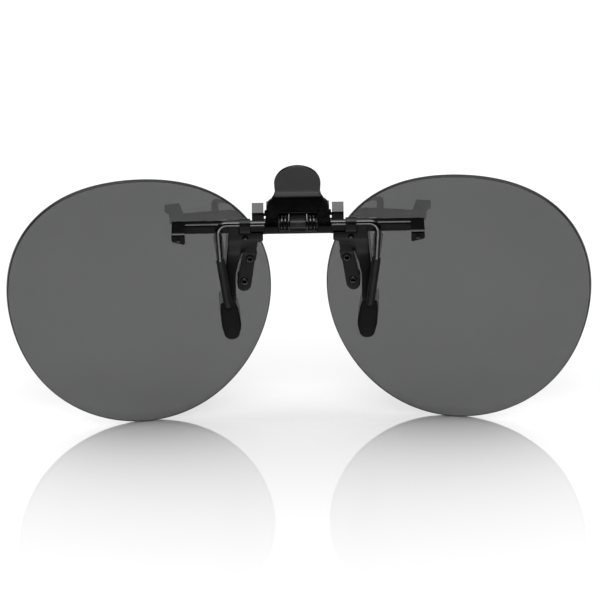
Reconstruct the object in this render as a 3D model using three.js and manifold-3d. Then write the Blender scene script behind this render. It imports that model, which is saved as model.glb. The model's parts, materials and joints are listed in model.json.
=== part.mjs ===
// Clip-on sunglasses: two rimless tinted lenses on a sprung metal clip.
// Units are millimetres. +X runs from left to right as the wearer sees it, -Y points
// to the wearer, +Z is up. The shapes are drawn about the middle of the clamp wire's
// axle, which is the squeeze hinge's axis. They are then moved so that the origin is
// the middle of the front bar's front face, level with that axle.
import * as THREE from 'three';
import { mergeVertices } from 'three/addons/utils/BufferGeometryUtils.js';
import Module from 'manifold-3d';

const wasm = await Module();
wasm.setup();
const { clamp, degToRad, lerp, smoothstep } = THREE.MathUtils;

// -------------------------------------------------------- shared dimensions
const SHEET = 0.6;                      // stamped steel thickness
const WIRE_R = 0.75;                    // clamp wire radius
const AXLE_BORE_R = 0.78;               // bore of the parts that turn on the axle

const BAR_REAR_Y = 3.02;
const BAR_FRONT_Y = BAR_REAR_Y + SHEET;
const BAR_MID_Y = BAR_REAR_Y + SHEET / 2;

const PLATE_Y = 2.66;                   // middle of the bracket plate
const LENS_PAD_Y = 5.46;                // middle of the bracket's lens pad
const BRACKET_RIVET = [12.15, -4.65];   // x, z
const BRACKET_RIVET_HOLE_R = 0.47;
const LENS_RIVETS = { upper: [11.2, -11.25], lower: [12.62, -17.0] };   // x, z

// ----------------------------------------------------------------- materials
const STEEL = { color: 0x17181a, roughness: 0.32, metalness: 0.85 };
const RUBBER = { color: 0x121314, roughness: 0.62, metalness: 0.0 };
const NYLON = { color: 0x1b1c1e, roughness: 0.5, metalness: 0.0 };
const GLASS = {
  color: 0x3a3b3c, roughness: 0.05, metalness: 0.0, transparent: true, opacity: 0.62,
};
const SPRING_STEEL = { color: 0x6d6f72, roughness: 0.28, metalness: 1.0 };

// -------------------------------------------------- geometry and solid bodies
const vec2 = (x, y) => new THREE.Vector2(x, y);
const vec3 = (x, y, z) => new THREE.Vector3(x, y, z);

// a manifold from a closed geometry, with its faces turned outwards
function solid(geometry) {
  const bare = new THREE.BufferGeometry();
  bare.setAttribute('position', geometry.attributes.position);
  bare.setIndex(geometry.index);
  const merged = mergeVertices(bare, 1e-4);
  const { position } = merged.attributes;
  const corners = merged.index.array;
  const corner = (i) => vec3().fromBufferAttribute(position, i);
  const triangles = [];
  let volume = 0;
  for (let i = 0; i < corners.length; i += 3) {
    const [first, second, third] = corners.slice(i, i + 3);
    if (first === second || second === third || first === third) continue;
    triangles.push([first, second, third]);
    volume += corner(first).dot(corner(second).cross(corner(third)));
  }
  const facing = volume < 0 ? triangles.map(([a, b, c]) => [b, a, c]) : triangles;
  return new wasm.Manifold(new wasm.Mesh({
    numProp: 3,
    vertProperties: new Float32Array(position.array),
    triVerts: new Uint32Array(facing.flat()),
  }));
}

function toGeometry(manifold) {
  const mesh = manifold.getMesh();
  const geometry = new THREE.BufferGeometry();
  const positions = new Float32Array(mesh.vertProperties);
  geometry.setAttribute('position', new THREE.BufferAttribute(positions, 3));
  geometry.setIndex(new THREE.BufferAttribute(new Uint32Array(mesh.triVerts), 1));
  return geometry;
}

function mirrored(geometry) {
  const copy = geometry.clone().scale(-1, 1, 1);
  const corners = copy.index.array;
  for (let i = 0; i < corners.length; i += 3) {
    [corners[i], corners[i + 1]] = [corners[i + 1], corners[i]];
  }
  return copy;
}

// ------------------------------------------------------------ flat outlines
const shapeOf = (points) => new THREE.Shape(points.map(([a, b]) => vec2(a, b)));

// a half outline completed by its mirror image; points on the middle line stay single
const bothHalves = (half) => half.concat(
  half.slice().reverse().map(([x, z]) => [-x, z]).filter(([x]) => Math.abs(x) > 1e-6),
);

const rectangle = (a0, a1, b0, b1) => [[a0, b0], [a1, b0], [a1, b1], [a0, b1]];

function circle(centreA, centreB, radius, sides) {
  return Array.from({ length: sides }, (_, i) => {
    const angle = (2 * Math.PI * i) / sides;
    return [centreA + radius * Math.cos(angle), centreB + radius * Math.sin(angle)];
  });
}

// ------------------------------------------------------------- solid shapes
// outline in x and z, drawn out along y
function prismY(outline, y0, y1) {
  const options = { depth: y1 - y0, bevelEnabled: false };
  const geometry = new THREE.ExtrudeGeometry(shapeOf(outline), options);
  return solid(geometry.rotateX(Math.PI / 2).translate(0, y1, 0));
}

// outline in y and z, drawn out along x
function prismX(outline, x0, x1, holes = []) {
  const shape = shapeOf(outline);
  shape.holes.push(...holes.map(shapeOf));
  const geometry = new THREE.ExtrudeGeometry(shape, { depth: x1 - x0, bevelEnabled: false });
  const axes = new THREE.Matrix4().makeBasis(vec3(0, 1, 0), vec3(0, 0, 1), vec3(1, 0, 0));
  return solid(geometry.applyMatrix4(axes).translate(x0, 0, 0));
}

const cylinderY = ([x, z], radius, y0, y1, sides) => prismY(circle(x, z, radius, sides), y0, y1);

// profile rows are radius and height along y
const lathe = (profile, segments) => new THREE.LatheGeometry(
  profile.map(([radius, y]) => vec2(radius, y)), segments,
);
const turnedY = (profile, [x, z], segments) => solid(lathe(profile, segments).translate(x, 0, z));

// a polyline whose inner corners are rounded, each with its own bend radius
function rounded(points, radii, segments = 4) {
  const out = [points[0]];
  for (let i = 1; i < points.length - 1; i++) {
    const corner = vec3(...points[i]);
    const before = vec3(...points[i - 1]).sub(corner);
    const after = vec3(...points[i + 1]).sub(corner);
    const maxCut = 0.49 * Math.min(before.length(), after.length());
    before.normalize();
    after.normalize();
    const halfAngle = before.angleTo(after) / 2;
    const cut = Math.min(radii[i - 1] / Math.tan(halfAngle), maxCut);
    const toCentre = (cut * Math.tan(halfAngle)) / Math.sin(halfAngle);
    const middle = before.clone().add(after).normalize();
    const centre = corner.clone().addScaledVector(middle, toCentre);
    const start = corner.clone().addScaledVector(before, cut).sub(centre);
    const end = corner.clone().addScaledVector(after, cut).sub(centre);
    const sweep = start.angleTo(end);
    const axis = start.clone().cross(end).normalize();
    for (let k = 0; k <= segments; k++) {
      const spoke = start.clone().applyAxisAngle(axis, (sweep * k) / segments);
      out.push(spoke.add(centre).toArray());
    }
  }
  out.push(points[points.length - 1]);
  return out;
}

const roundedYZ = (path, radii, segments) => rounded(path.map(([y, z]) => [y, z, 0]), radii, segments)
  .map(([y, z]) => [y, z]);

// closed outline of a sheet whose middle surface follows a y,z path
function sheetOutline(path, thickness) {
  const MIN_MITRE_COS = 0.3;   // keeps a sharp corner from running out to a spike
  const direction = (i) => vec2(...path[i + 1]).sub(vec2(...path[i])).normalize();
  const last = path.length - 1;
  const upper = [];
  const lower = [];
  path.forEach(([y, z], i) => {
    const before = direction(Math.max(0, i - 1));
    const after = direction(Math.min(last - 1, i));
    const along = before.clone().add(after).normalize();
    const offset = thickness / 2 / Math.max(MIN_MITRE_COS, along.dot(before));
    upper.push([y - along.y * offset, z + along.x * offset]);
    lower.push([y + along.y * offset, z - along.x * offset]);
  });
  return upper.concat(lower.reverse());
}

const bentSheet = (path, radii, [x0, x1], segments) => prismX(
  sheetOutline(roundedYZ(path, radii, segments), SHEET), x0, x1,
);

// a curve that visits its points exactly, for drawing a section along it
class PointPath extends THREE.Curve {
  constructor(points) {
    super();
    this.points = points.map((point) => vec3(...point));
  }

  getSpacedPoints() {
    return this.points.map((point) => point.clone());
  }

  getTangentAt(share, target = vec3()) {
    const last = this.points.length - 1;
    const i = Math.round(share * last);
    const here = this.points[i];
    const before = here.clone().sub(this.points[Math.max(0, i - 1)]).normalize();
    const after = this.points[Math.min(last, i + 1)].clone().sub(here).normalize();
    return target.copy(before.add(after).normalize());
  }
}

function rod(points, radius, sides) {
  return solid(new THREE.ExtrudeGeometry(shapeOf(circle(0, 0, radius, sides)), {
    steps: points.length - 1,
    bevelEnabled: false,
    extrudePath: new PointPath(points),
  }));
}

// --------------------------------------------------------------------- lenses
// A spherical meniscus, centred on its own axis, trimmed to the outline, then
// leaned (bottom towards the wearer) and wrapped (outer edge towards the wearer).
const LENS_REAR_R = 200.0;              // curvature of the rear surface
const LENS_T = 1.2;
const LENS_FRONT_R = LENS_REAR_R + LENS_T;
const LENS_X = 37.05;
const LENS_Z = -20.75;
const LENS_WRAP = degToRad(8.9);
const LENS_TILT = degToRad(5.0);
const LENS_SEAT = vec3(11.9, 6.95, -14.05);   // a point of the rear surface at the rivets
const LENS_HOLE_R = 0.95;
const LENS_BLANK_R = 35;
// outline radius about the lens centre: angle 0 to the nose, 90 degrees up
const LENS_MEAN_R = 30.507;
const LENS_HARMONICS = [                // cosine and sine terms of orders 1 to 5
  [-0.170, 0.772], [0.382, -0.280], [0.139, 0.766], [-0.297, 0.013], [0.066, -0.033],
];

const LENS_TURN = new THREE.Matrix4().makeRotationZ(-LENS_WRAP)
  .multiply(new THREE.Matrix4().makeRotationX(-LENS_TILT));

// The lens centre's y puts the seat point on the rear surface. The centre of
// curvature is found relative to the lens centre first.
const toCurvature = vec3(0, -LENS_REAR_R, 0).applyMatrix4(LENS_TURN);
const LENS_Y = LENS_SEAT.y - toCurvature.y - Math.sqrt(LENS_REAR_R ** 2
  - (LENS_SEAT.x - LENS_X - toCurvature.x) ** 2 - (LENS_SEAT.z - LENS_Z - toCurvature.z) ** 2);
const CURVATURE = vec3(LENS_X, LENS_Y, LENS_Z).add(toCurvature);

// y of a lens surface at 16 points, one radian apart, round a circle
function lensSurfaceY([x, z], radius, surfaceR) {
  return Array.from({ length: 16 }, (_, i) => CURVATURE.y + Math.sqrt(surfaceR ** 2
    - (x + radius * Math.cos(i) - CURVATURE.x) ** 2
    - (z + radius * Math.sin(i) - CURVATURE.z) ** 2));
}

function lensOutline() {
  const count = 60;
  return Array.from({ length: count }, (_, i) => {
    const angle = (2 * Math.PI * i) / count;
    const radius = LENS_HARMONICS.reduce((sum, [cosine, sine], k) => sum
      + cosine * Math.cos((k + 1) * angle) + sine * Math.sin((k + 1) * angle), LENS_MEAN_R);
    return [-radius * Math.cos(angle), radius * Math.sin(angle)];   // the nose is at -x
  });
}

function lens() {
  const rings = 5;
  const sag = (surfaceR, r) => surfaceR - Math.sqrt(surfaceR ** 2 - r * r);
  const radii = Array.from({ length: rings + 1 }, (_, i) => (LENS_BLANK_R * i) / rings);
  const rear = radii.map((r) => [r, -sag(LENS_REAR_R, r)]);
  const front = radii.map((r) => [r, LENS_T - sag(LENS_FRONT_R, r)]).reverse();
  const blank = turnedY([...rear, ...front], [0, 0], 36);
  const trimmed = toGeometry(blank.intersect(prismY(lensOutline(), -9, 4)));
  let body = solid(trimmed.applyMatrix4(LENS_TURN).translate(LENS_X, LENS_Y, LENS_Z));
  for (const place of Object.values(LENS_RIVETS)) {
    body = body.subtract(cylinderY(place, LENS_HOLE_R, 0, 14, 16));
  }
  return body;
}

// ------------------------------------------------------------------- brackets
// One stamping: a plate behind the bar, a knuckle rolled round the axle, a leg
// that reaches forward to the lens and a paddle leg that drops to the pad.
const BRACKET_LENS_HOLE_R = 0.82;
const KNUCKLE_T = 0.44;                 // the knuckle is coined thinner than the plate
const KNUCKLE_R = 1.0;                  // its middle surface
const KNUCKLE_SWEEP = Math.PI * 1.12;
const KNUCKLE_X = [10.9, 13.4];
// the slit between the legs: x at its top, and the outward slope down to its foot
const SLIT = { topX: 12.95, topZ: -9.3, slope: 0.195, footZ: -16.75 };
// bends of the legs: top z, the drop they take and, for the paddle leg, the shift in y
const PADDLE_FORWARD = { top: -5.0, drop: 4.6, shift: 1.0 };
const PADDLE_BACK = { top: -9.4, drop: 12.0, shift: -1.35 };
const LENS_LEG = { top: -5.3, drop: 4.7, easedShare: 0.25 };
// half width of the strip above the slit that joins the legs, narrowing downwards
const WEB = { top: -5.3, drop: 4.0, topHalf: 2.4, bottomHalf: 0.3 };
// stations of the bent slab: x from the slit line, and z
const SLAB_ACROSS = [
  -6.2, -4.4, -3.0, -2.0, -1.2, -0.6, -0.12, 0.12, 0.6, 1.2, 2.0, 3.0, 5.6,
];
const SLAB_Z = [
  -1.4, -3.4, -5.0, -5.8, -6.6, -7.4, -8.2, -9.0, -9.6,
  -10.2, -11.5, -13.5, -15.5, -17.5, -19.6, -21.6, -24.5, -29.5,
];
const BRACKET_OUTLINE = [   // x, z
  [8.05, -3.7], [13.4, -3.7], [13.4, -4.0], [13.55, -4.0], [13.55, -1.7], [15.95, -1.7],
  [16.05, -4.2], [16.35, -8.0], [16.75, -12.0], [17.1, -16.5], [17.2, -21.0], [16.95, -23.2],
  [16.7, -27.2], [16.3, -28.0], [15.4, -28.0], [15.0, -27.2], [14.9, -23.2], [14.6, -20.0],
  [14.55, -14.5], [13.88, -11.6], [13.25, -9.6], [12.98, -8.9], [12.82, -9.5], [13.12, -11.2],
  [14.15, -16.4], [14.27, -17.4], [14.22, -18.35], [13.8, -19.2], [12.9, -19.65],
  [11.9, -19.45], [11.2, -18.7], [10.95, -17.6], [9.25, -5.9], [8.4, -5.8], [8.05, -5.4],
];
const KNUCKLE_LEAD = [[PLATE_Y, -4.7], [PLATE_Y, -3.45], [-KNUCKLE_R, -1.75], [-KNUCKLE_R, -0.3]];

const eased = (share) => smoothstep(share, 0, 1);
const dropShare = (z, { top, drop }) => (top - z) / drop;
const slitX = (z) => SLIT.topX - SLIT.slope * (Math.max(z, SLIT.footZ) - SLIT.topZ);

// middle surface of the stamping, `across` being the x distance from the slit line
function bracketY(across, z) {
  const paddleY = PLATE_Y + PADDLE_FORWARD.shift * eased(dropShare(z, PADDLE_FORWARD))
    + PADDLE_BACK.shift * eased(dropShare(z, PADDLE_BACK));
  const reach = clamp(dropShare(z, LENS_LEG), 0, 1);
  const reachMix = lerp(reach, eased(reach), LENS_LEG.easedShare);
  const lensLegY = PLATE_Y + (LENS_PAD_Y - PLATE_Y) * reachMix;
  let lensShare = across < 0 ? 1 : 0;
  if (z > SLIT.topZ) {
    const webHalf = lerp(WEB.topHalf, WEB.bottomHalf, clamp(dropShare(z, WEB), 0, 1));
    lensShare = eased((webHalf - across) / (2 * webHalf));
  }
  return paddleY + (lensLegY - paddleY) * lensShare;
}

function bentSlab() {
  const columns = SLAB_ACROSS.length - 1;
  const rows = SLAB_Z.length - 1;
  const slab = new THREE.BoxGeometry(1, 1, 1, columns, 1, rows);
  const { position } = slab.attributes;
  for (let i = 0; i < position.count; i++) {
    const across = SLAB_ACROSS[Math.round((position.getX(i) + 0.5) * columns)];
    const z = SLAB_Z[Math.round((0.5 - position.getZ(i)) * rows)];
    const y = bracketY(across, z) + (Math.sign(position.getY(i)) * SHEET) / 2;
    position.setXYZ(i, slitX(z) + across, y, z);
  }
  return solid(slab);
}

// up behind the axle, over it and down in front
function knuckle() {
  const steps = 10;
  const path = roundedYZ(KNUCKLE_LEAD, [0.5, 0.4], 3);
  for (let i = 0; i <= steps; i++) {
    const angle = Math.PI - (KNUCKLE_SWEEP * i) / steps;
    path.push([KNUCKLE_R * Math.cos(angle), KNUCKLE_R * Math.sin(angle)]);
  }
  return prismX(sheetOutline(path, KNUCKLE_T), ...KNUCKLE_X);
}

function bracket() {
  let body = bentSlab().intersect(prismY(BRACKET_OUTLINE, 0, 8)).add(knuckle());
  body = body.subtract(cylinderY(BRACKET_RIVET, BRACKET_RIVET_HOLE_R, 0, 5, 12));
  for (const place of Object.values(LENS_RIVETS)) {
    body = body.subtract(cylinderY(place, BRACKET_LENS_HOLE_R, 3, 8, 16));
  }
  return body;
}

// ------------------------------------------------------------------ front bar
const BAR_HALF = 29.0;
const BAR_TOP_Z = -1.35;
const BAR_BOTTOM_Z = -3.7;
const BAR_PLATE_TOP_Z = BAR_TOP_Z - 0.8;    // the flange's bend takes over above this
const FLANGE_Z = BAR_TOP_Z - SHEET / 2;     // middle of the flange and the hook's top
const FLANGE_FRONT_Y = 4.9;
const EAR_X = [7.85, 10.55];
const EAR_BEND_Z = 1.05;
const EAR_LENGTH = 2.5;                     // above the bend
const EAR_LEAN = 0.733;                     // radians from upright
const HOOK_X0 = 25.9;
const HOOK_REAR_Y = -2.0;
const HOOK_MID_Y = HOOK_REAR_Y + SHEET / 2;
const HOOK_PIMPLE = { place: [27.45, -2.95], radius: 0.5 };
const BAR_SLOT = rectangle(6.9, 7.75, -0.4, 0.5);
const BAR_HALF_OUTLINE = [                  // x, z
  [0, 1.78], [7.6, 1.78], [7.72, 1.0], [10.55, 1.0], [10.55, BAR_PLATE_TOP_Z],
  [BAR_HALF, BAR_PLATE_TOP_Z], [BAR_HALF, BAR_BOTTOM_Z], [14.1, BAR_BOTTOM_Z],
  [13.7, -5.15], [13.4, -5.45], [11.1, -5.45], [10.8, -5.15], [10.5, -4.1], [7.4, -4.1],
  [7.0, -3.6], [0, -3.6],
];
const HOOK_OUTLINE = [                      // x, z
  [HOOK_X0, 0], [HOOK_X0, -3.9], [26.3, -4.1], [28.7, -3.45], [BAR_HALF, -3.2], [BAR_HALF, 0],
];
const TAB_HALF_OUTLINE = [                  // x, z
  [0, 9.0], [1.8, 8.75], [3.3, 8.0], [4.2, 6.9], [4.55, 5.6],
  [4.5, 3.6], [4.9, 1.7], [4.9, 0], [0, 0],
];
// paths in y, z along the middle of the sheet
const FLANGE_PATH = [[BAR_MID_Y, -2.8], [BAR_MID_Y, FLANGE_Z], [FLANGE_FRONT_Y, FLANGE_Z]];
const EAR_PATH = [
  [BAR_MID_Y, 0.1], [BAR_MID_Y, EAR_BEND_Z],
  [BAR_MID_Y + EAR_LENGTH * Math.sin(EAR_LEAN), EAR_BEND_Z + EAR_LENGTH * Math.cos(EAR_LEAN)],
];
const HOOK_PATH = [[BAR_MID_Y + 0.1, FLANGE_Z], [HOOK_MID_Y, FLANGE_Z], [HOOK_MID_Y, -4.4]];
const TAB_PATH = [[BAR_MID_Y, 0.2], [BAR_MID_Y, 1.9], [7.0, 8.7]];

function frontBar() {
  let bar = prismY(bothHalves(BAR_HALF_OUTLINE), BAR_REAR_Y, BAR_FRONT_Y);
  for (const side of [1, -1]) {
    const span = (inner, outer) => (side > 0 ? [inner, outer] : [-outer, -inner]);
    const onSide = ([x, z]) => [side * x, z];
    // stiffening flange, turned forward
    bar = bar.add(bentSheet(FLANGE_PATH, [0.45], span(10.5, BAR_HALF)));
    // ear, its upper part bent forward
    bar = bar.add(bentSheet(EAR_PATH, [0.35], span(...EAR_X)));
    // hook, carried back over the rim of the spectacles and turned down
    const hook = bentSheet(HOOK_PATH, [0.5], span(HOOK_X0, BAR_HALF));
    bar = bar.add(hook.intersect(prismY(HOOK_OUTLINE.map(onSide), -4, 6)));
    bar = bar.add(cylinderY(
      onSide(HOOK_PIMPLE.place), HOOK_PIMPLE.radius, HOOK_REAR_Y - 0.28, HOOK_REAR_Y + 0.2, 12,
    ));
    bar = bar.subtract(cylinderY(onSide(BRACKET_RIVET), BRACKET_RIVET_HOLE_R, 0, 6, 12));
    bar = bar.subtract(prismY(BAR_SLOT.map(onSide), 2, 5));
  }
  // finger tab, leaning forward, opposite the lever
  const tab = bentSheet(TAB_PATH, [0.8], [-6, 6]);
  return bar.add(tab.intersect(prismY(bothHalves(TAB_HALF_OUTLINE), 0, 12)));
}

// --------------------------------------------------------------------- rivets
const BRACKET_RIVET_PROFILE = [   // radius, y
  [0, 2.08], [0.45, 2.12], [0.68, 2.3], [0.68, 2.34], [0.42, 2.34],
  [0.42, 3.66], [0.75, 3.68], [0.7, 3.95], [0, 4.05],
];
const EYELET_FLANGE_R = 0.95;
const EYELET_SHANK_R = 0.75;
const EYELET_BORE_R = 0.42;
const RING_BORE_R = 0.8;          // of spacers and washers
const RING_CHAMFER = 0.1;
const SPACER_R = 1.5;
const WASHER_R = 1.65;
const WASHER_T = 0.55;
const LENS_GAP = 0.06;            // between a ring and the lens
const PAD_GAP = 0.03;             // between a spacer and the lens pad
const CLINCH_GAP = 0.03;          // between a washer and the clinched end

function nylonRing(place, y0, y1, radius) {
  const flatR = radius - RING_CHAMFER;
  return turnedY([
    [RING_BORE_R, y0], [flatR, y0], [radius, y0 + RING_CHAMFER], [radius, y1 - RING_CHAMFER],
    [flatR, y1], [RING_BORE_R, y1], [RING_BORE_R, y0],
  ], place, 20);
}

// a tubular rivet, its flange behind the bracket's lens pad and its clinched end in front
function eyelet(place, padRear, clinch) {
  return turnedY([
    [EYELET_BORE_R, padRear - 0.24], [EYELET_BORE_R + 0.2, padRear - 0.36],
    [EYELET_FLANGE_R - 0.12, padRear - 0.3], [EYELET_FLANGE_R, padRear - 0.02],
    [EYELET_SHANK_R, padRear - 0.02], [EYELET_SHANK_R, clinch],
    [1.15, clinch + 0.02], [1.05, clinch + 0.3], [EYELET_BORE_R + 0.12, clinch + 0.3],
    [EYELET_BORE_R, clinch + 0.15], [EYELET_BORE_R, padRear - 0.24],
  ], place, 20);
}

function lensFastening(place) {
  const spacerFront = Math.min(...lensSurfaceY(place, SPACER_R, LENS_REAR_R)) - LENS_GAP;
  const washerRear = Math.max(...lensSurfaceY(place, WASHER_R, LENS_FRONT_R)) + LENS_GAP;
  const washerFront = washerRear + WASHER_T;
  return {
    rivet: eyelet(place, LENS_PAD_Y - SHEET / 2, washerFront + CLINCH_GAP),
    spacer: nylonRing(place, LENS_PAD_Y + SHEET / 2 + PAD_GAP, spacerFront, SPACER_R),
    washer: nylonRing(place, washerRear, washerFront, WASHER_R),
  };
}

// --------------------------------------------------------------- paddle covers
const COVER_OUTLINE = [           // x, z
  [14.5, -21.3], [18.15, -21.3], [18.28, -22.3], [18.22, -24.3], [18.05, -26.9],
  [17.6, -28.6], [16.85, -29.9], [15.75, -30.5], [14.75, -30.1], [14.0, -29.0],
  [13.5, -27.4], [13.55, -25.6], [13.95, -23.5], [14.28, -22.1],
];
const COVER_PROFILE = [           // y, z
  [1.45, -21.3], [1.3, -22.6], [1.3, -27.7], [1.6, -29.8], [2.1, -30.6],
  [2.5, -30.6], [3.0, -29.8], [3.3, -27.7], [3.25, -22.8], [3.15, -21.3],
];
const POCKET_PROFILE = rectangle(1.9, 2.75, -28.15, -20);   // y, z; open at the top
const POCKET_X = [14.72, 17.32];

function paddleCover() {
  return prismX(COVER_PROFILE, 12, 19)
    .intersect(prismY(COVER_OUTLINE, 0, 5))
    .subtract(prismX(POCKET_PROFILE, ...POCKET_X));
}

// ------------------------------------------------------ clamp wire and sleeves
const AXLE_END = [18.45, 0, 0];
const LEG_KINK = [17.95, 0.1, -9.0];    // where a wire leg turns inward
const LEG_END = [16.45, 0.6, -20.5];
const AXLE_BEND_R = 2.0;
const KINK_BEND_R = 6;
const SLEEVE_R = 1.05;
const SLEEVE_BORE_R = WIRE_R + 0.025;
const SLEEVE_TOP_Z = -9.2;
const SLEEVE_GUIDE_TOP_Z = -2.1;        // where the line that the sleeve follows starts
const SLEEVE_TIP_PROFILE = [            // radius, height above the start of the tip
  [0, -0.62], [0.42, -0.5], [0.78, -0.2], [SLEEVE_R, 0.25], [SLEEVE_R, 0.7], [0, 0.7],
];

function clampWire() {
  const right = [AXLE_END, LEG_KINK, LEG_END];
  const left = right.map(([x, y, z]) => [-x, y, z]).reverse();
  const radii = [KINK_BEND_R, AXLE_BEND_R, AXLE_BEND_R, KINK_BEND_R];
  return rod(rounded([...left, ...right], radii, 6), WIRE_R, 12);
}

// the sleeve follows the lower part of a leg; its end is closed and rounded
function wireSleeve() {
  const guideTop = [AXLE_END[0], 0, SLEEVE_GUIDE_TOP_Z];
  const leg = rounded([guideTop, LEG_KINK, LEG_END], [KINK_BEND_R], 6)
    .map((point) => vec3(...point));
  const firstBelow = leg.findIndex(({ z }) => z < SLEEVE_TOP_Z);
  const above = leg[firstBelow - 1];
  const below = leg[firstBelow];
  const start = above.clone().lerp(below, (above.z - SLEEVE_TOP_Z) / (above.z - below.z));
  const end = leg.at(-1);
  const down = end.clone().sub(leg.at(-2)).normalize();
  const upward = start.clone().sub(below).normalize();
  const skinEnd = end.clone().addScaledVector(down, 0.35);
  const boreEnd = end.clone().addScaledVector(down, 0.12);
  const boreTop = start.clone().add(upward);   // clears the sleeve's top by 1
  const middle = [start, ...leg.slice(firstBelow, -1)];

  const skin = rod([...middle, skinEnd], SLEEVE_R, 14);
  const turn = new THREE.Quaternion().setFromUnitVectors(vec3(0, -1, 0), down);
  const tip = lathe(SLEEVE_TIP_PROFILE, 14).applyQuaternion(turn).translate(...skinEnd);
  const bore = rod([boreTop, ...middle, boreEnd], SLEEVE_BORE_R, 14);
  return skin.add(solid(tip)).subtract(bore);
}

// ----------------------------------------------------------------------- lever
// y, z along the middle surface: bottom, bend, crease, top of the narrow facet, top
const LEVER_PATH = [[-2.0, -1.6], [-2.0, 0.2], [1.5, 5.8], [1.38, 7.5], [-1.12, 15.1]];
const LEVER_BENDS = [1.4, 0.45, 1.2];
// the quarter ellipse that ends the lever's upper part
const LEVER_CROWN = { z: 9.85, halfWidth: 5.32, height: 5.1, steps: 8 };
const LEVER_SIDE = [              // x, z below the crown
  [5.25, 8.6], [5.18, 7.6], [5.45, 6.6], [5.95, 5.8], [6.7, 5.3], [7.0, 4.6],
  [7.2, 3.6], [7.5, 1.0], [7.78, -0.9], [7.78, -2.2], [0, -2.2],
];
const WINDOW_HALF_OUTLINE = [     // x, z
  [0, -1.05], [4.47, -1.05], [4.47, 2.5], [4.17, 2.8], [0, 2.8],
];
const CHEEK_X = 6.6;              // inner face
const CHEEK_OUTLINE = [           // y, z
  [-2.0, -1.5], [0.9, -1.5], [1.35, -0.9], [1.5, 0.5],
  [1.95, 4.7], [1.2, 5.1], [0.35, 4.3], [-2.0, 0.4],
];

function lever() {
  const { z, halfWidth, height, steps } = LEVER_CROWN;
  const crown = Array.from({ length: steps + 1 }, (_, i) => {
    const angle = ((Math.PI / 2) * i) / steps;
    return [halfWidth * Math.sin(angle), z + height * Math.cos(angle)];
  });
  let body = bentSheet(LEVER_PATH, LEVER_BENDS, [-9, 9], 5)
    .intersect(prismY(bothHalves([...crown, ...LEVER_SIDE]), -4, 4))
    .subtract(prismY(bothHalves(WINDOW_HALF_OUTLINE), -3, 1.6));
  for (const x0 of [CHEEK_X, -CHEEK_X - SHEET]) {
    body = body.add(prismX(CHEEK_OUTLINE, x0, x0 + SHEET, [circle(0, 0, AXLE_BORE_R, 16)]));
  }
  return body;
}

// --------------------------------------------------------------- spring, arbor
const SPRING_WIRE_R = 0.3;
// the left coil: mean radius, x of its outer end, its run along x, degrees, steps
const COIL = { radius: 1.65, outerX: -4.05, run: 1.95, startAngle: -45, sweep: 895, steps: 30 };
const SPRING_TAIL = [[COIL.outerX, 2.66, 1.4], [COIL.outerX, 2.6, 0.27]];
// the bow that joins the coils
const BOW = { halfWidth: 1.95, length: 2.85, shiftY: 0.26, bendR: 0.55 };
const ARBOR_R = 1.12;
const ARBOR_HALF = 4.4;

function torsionSpring() {
  const coilAngle = (share) => degToRad(COIL.startAngle - COIL.sweep * share);
  const coil = Array.from({ length: COIL.steps + 1 }, (_, i) => {
    const share = i / COIL.steps;
    const angle = coilAngle(share);
    const x = COIL.outerX + COIL.run * share;
    return [x, COIL.radius * Math.cos(angle), COIL.radius * Math.sin(angle)];
  });
  const flip = ([x, y, z]) => [-x, y, z];
  const end = coil.at(-1);
  const endAngle = coilAngle(1);
  const bowCorner = [
    -BOW.halfWidth,
    end[1] + Math.sin(endAngle) * BOW.length + BOW.shiftY,
    end[2] - Math.cos(endAngle) * BOW.length,
  ];
  const bowPoints = [end, bowCorner, flip(bowCorner), flip(end)];
  const bow = rounded(bowPoints, [BOW.bendR, BOW.bendR]).slice(1, -1);
  const left = [...SPRING_TAIL, ...coil];
  return rod([...left, ...bow, ...left.map(flip).reverse()], SPRING_WIRE_R, 8);
}

function springArbor() {
  const profile = [
    [AXLE_BORE_R, -ARBOR_HALF], [ARBOR_R, -ARBOR_HALF], [ARBOR_R, ARBOR_HALF],
    [AXLE_BORE_R, ARBOR_HALF], [AXLE_BORE_R, -ARBOR_HALF],
  ];
  return solid(lathe(profile, 16).rotateZ(-Math.PI / 2));
}

// ------------------------------------------------------------------- assembly
const group = new THREE.Group();

function addMesh(name, geometry, look) {
  geometry.translate(0, -BAR_FRONT_Y, 0);
  const mesh = new THREE.Mesh(geometry, new THREE.MeshStandardMaterial(look));
  mesh.name = name;
  group.add(mesh);
}

const addSingle = (name, manifold, look) => addMesh(name, toGeometry(manifold), look);

// the right piece as drawn, and its mirror image on the left
function addPair(name, manifold, look) {
  const right = toGeometry(manifold);
  const left = mirrored(right);
  addMesh(`right_${name}`, right, look);
  addMesh(`left_${name}`, left, look);
}

addPair('lens', lens(), GLASS);
addPair('bracket', bracket(), STEEL);
addSingle('front_bar', frontBar(), STEEL);
addPair('bracket_rivet', turnedY(BRACKET_RIVET_PROFILE, BRACKET_RIVET, 16), STEEL);
for (const [label, place] of Object.entries(LENS_RIVETS)) {
  const { rivet, spacer, washer } = lensFastening(place);
  addPair(`lens_rivet_${label}`, rivet, STEEL);
  addPair(`lens_spacer_${label}`, spacer, NYLON);
  addPair(`lens_washer_${label}`, washer, NYLON);
}
addPair('paddle_cover', paddleCover(), RUBBER);
addSingle('clamp_wire', clampWire(), STEEL);
addPair('wire_sleeve', wireSleeve(), RUBBER);
addSingle('lever', lever(), STEEL);
addSingle('torsion_spring', torsionSpring(), SPRING_STEEL);
addSingle('spring_arbor', springArbor(), NYLON);

export default group;
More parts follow.
